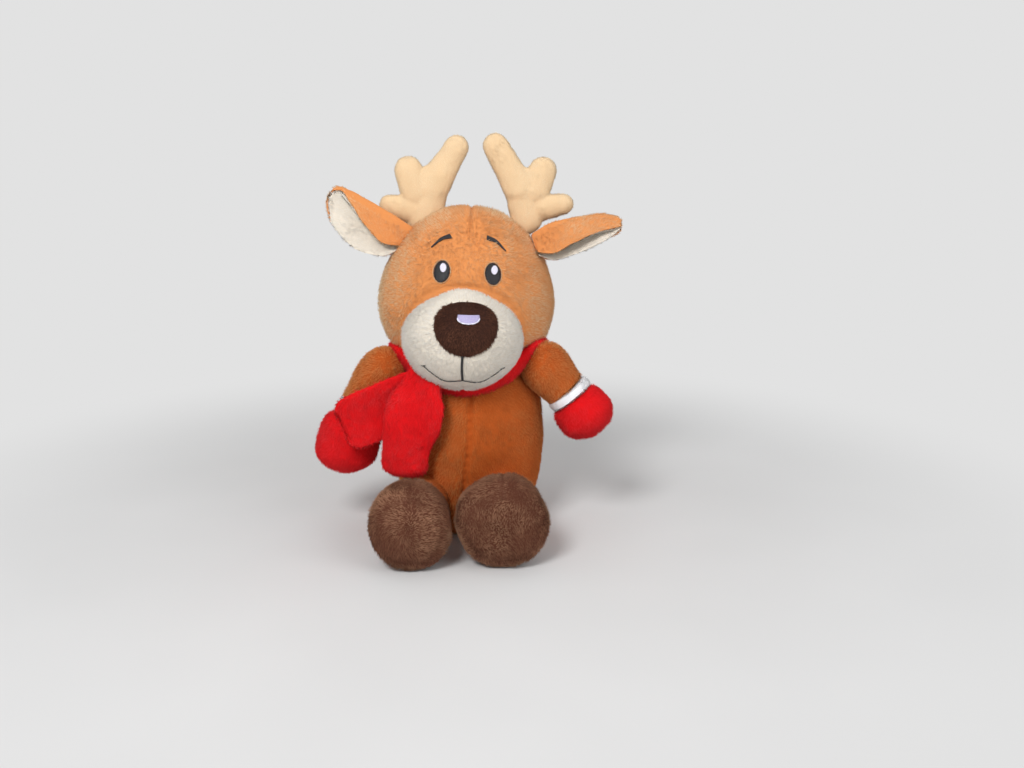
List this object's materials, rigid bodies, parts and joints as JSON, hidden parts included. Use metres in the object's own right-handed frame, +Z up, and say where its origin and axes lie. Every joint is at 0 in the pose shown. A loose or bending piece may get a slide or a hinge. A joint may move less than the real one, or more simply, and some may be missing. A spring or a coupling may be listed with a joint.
{
  "type": "plush_animal",
  "caption": "Seated plush deer with soft antlers and ears, cream muzzle, embroidered face, red scarf and mittens, fleece cuffs and dark hooves, jointed at head, ears, antlers, arms, legs and tail",
  "frame": {"origin": "the middle of the seat, on the floor that the toy sits on", "axes": "+Z up, the toy faces -Y, and its own left side is at +X"},
  "size_m": [0.1861, 0.1423, 0.2361],
  "materials": {
    "body_plush": "short polyester pile, caramel",
    "cream_plush": "short polyester pile, cream",
    "antler_fleece": "napped fleece, beige",
    "hoof_plush": "longer fluffy pile, dark brown",
    "nose_plush": "dense short pile, dark brown",
    "scarf_plush": "short brushed pile, bright red",
    "cuff_fleece": "curly white fleece",
    "dark_thread": "satin stitch embroidery thread",
    "white_thread": "satin stitch embroidery thread",
    "fibre_filling": "loose polyester fibre",
    "pellet_fill": "cloth bag of plastic pellets"
  },
  "bodies": {
    "torso": {"torso_cover": "body_plush", "torso_filling": "fibre_filling", "pellet_bag": "pellet_fill", "scarf_band": "scarf_plush"},
    "head": {"head_cover": "body_plush", "head_filling": "fibre_filling", "muzzle": "cream_plush", "nose": "nose_plush", "nose_glint": "white_thread", "mouth_stitching": "dark_thread", "eye_left": "dark_thread", "eye_right": "dark_thread", "eye_glint_left": "white_thread", "eye_glint_right": "white_thread", "brow_left": "dark_thread", "brow_right": "dark_thread"},
    "ear_left": {"ear_back_left": "body_plush", "ear_lining_left": "cream_plush"},
    "ear_right": {"ear_back_right": "body_plush", "ear_lining_right": "cream_plush"},
    "antler_left": {"antler_left": "antler_fleece"},
    "antler_right": {"antler_right": "antler_fleece"},
    "arm_left": {"sleeve_left": "body_plush", "cuff_left": "cuff_fleece", "mitten_left": "scarf_plush"},
    "arm_right": {"sleeve_right": "body_plush", "cuff_right": "cuff_fleece", "mitten_right": "scarf_plush"},
    "leg_left": {"leg_left": "body_plush", "hoof_left": "hoof_plush", "sole_left": "hoof_plush"},
    "leg_right": {"leg_right": "body_plush", "hoof_right": "hoof_plush", "sole_right": "hoof_plush"},
    "front_tail": {"scarf_front_tail": "scarf_plush"},
    "side_tail": {"scarf_side_tail": "scarf_plush"},
    "tail": {"tail": "body_plush"}
  },
  "joints": [
    {"name": "head_nod", "type": "hinge", "parent": "torso", "child": "head", "pos_m": [0, 0.003, 0.084], "axis": [1, 0, 0], "range_deg": [-9, 9], "stiffness_Nm_per_rad": 0.6, "deforming": ["scarf_band", "scarf_front_tail", "scarf_side_tail"]},
    {"name": "ear_left_raise", "type": "hinge", "parent": "head", "child": "ear_left", "pos_m": [0.04274, -0.00192, 0.1668], "axis": [0, -1, 0], "range_deg": [-20, 20], "stiffness_Nm_per_rad": 0.05},
    {"name": "ear_right_raise", "type": "hinge", "parent": "head", "child": "ear_right", "pos_m": [-0.03912, -0.00407, 0.17109], "axis": [0, 1, 0], "range_deg": [-20, 20], "stiffness_Nm_per_rad": 0.05},
    {"name": "antler_left_bend", "type": "hinge", "parent": "head", "child": "antler_left", "pos_m": [0.0301, 0.01173, 0.18098], "axis": [1, 0, 0], "range_deg": [-12, 12], "stiffness_Nm_per_rad": 0.08},
    {"name": "antler_right_bend", "type": "hinge", "parent": "head", "child": "antler_right", "pos_m": [-0.02581, 0.01026, 0.18391], "axis": [1, 0, 0], "range_deg": [-12, 12], "stiffness_Nm_per_rad": 0.08},
    {"name": "arm_left_lift", "type": "hinge", "parent": "torso", "child": "arm_left", "pos_m": [0.0385, -0.014, 0.095], "axis": [0, -1, 0], "range_deg": [-4, 30], "stiffness_Nm_per_rad": 0.15},
    {"name": "arm_right_lift", "type": "hinge", "parent": "torso", "child": "arm_right", "pos_m": [-0.0385, -0.014, 0.095], "axis": [0, 1, 0], "range_deg": [-4, 30], "stiffness_Nm_per_rad": 0.15},
    {"name": "leg_left_splay", "type": "hinge", "parent": "torso", "child": "leg_left", "pos_m": [0.023, -0.022, 0.024], "axis": [0, 0, 1], "range_deg": [0, 24], "stiffness_Nm_per_rad": 0.15},
    {"name": "leg_right_splay", "type": "hinge", "parent": "torso", "child": "leg_right", "pos_m": [-0.023, -0.022, 0.024], "axis": [0, 0, -1], "range_deg": [0, 24], "stiffness_Nm_per_rad": 0.15},
    {"name": "front_tail_lift", "type": "hinge", "parent": "torso", "child": "front_tail", "pos_m": [-0.02944, -0.0396, 0.09968], "axis": [-1, 0, 0], "range_deg": [0, 60]},
    {"name": "side_tail_lift", "type": "hinge", "parent": "torso", "child": "side_tail", "pos_m": [-0.0325, -0.0322, 0.089], "axis": [-0.5026, 0, 0.8645], "range_deg": [0, 60], "stiffness_Nm_per_rad": 0.004},
    {"name": "tail_lift", "type": "hinge", "parent": "torso", "child": "tail", "pos_m": [0, 0.0295, 0.024], "axis": [1, 0, 0], "range_deg": [-20, 20], "stiffness_Nm_per_rad": 0.02}
  ]
}
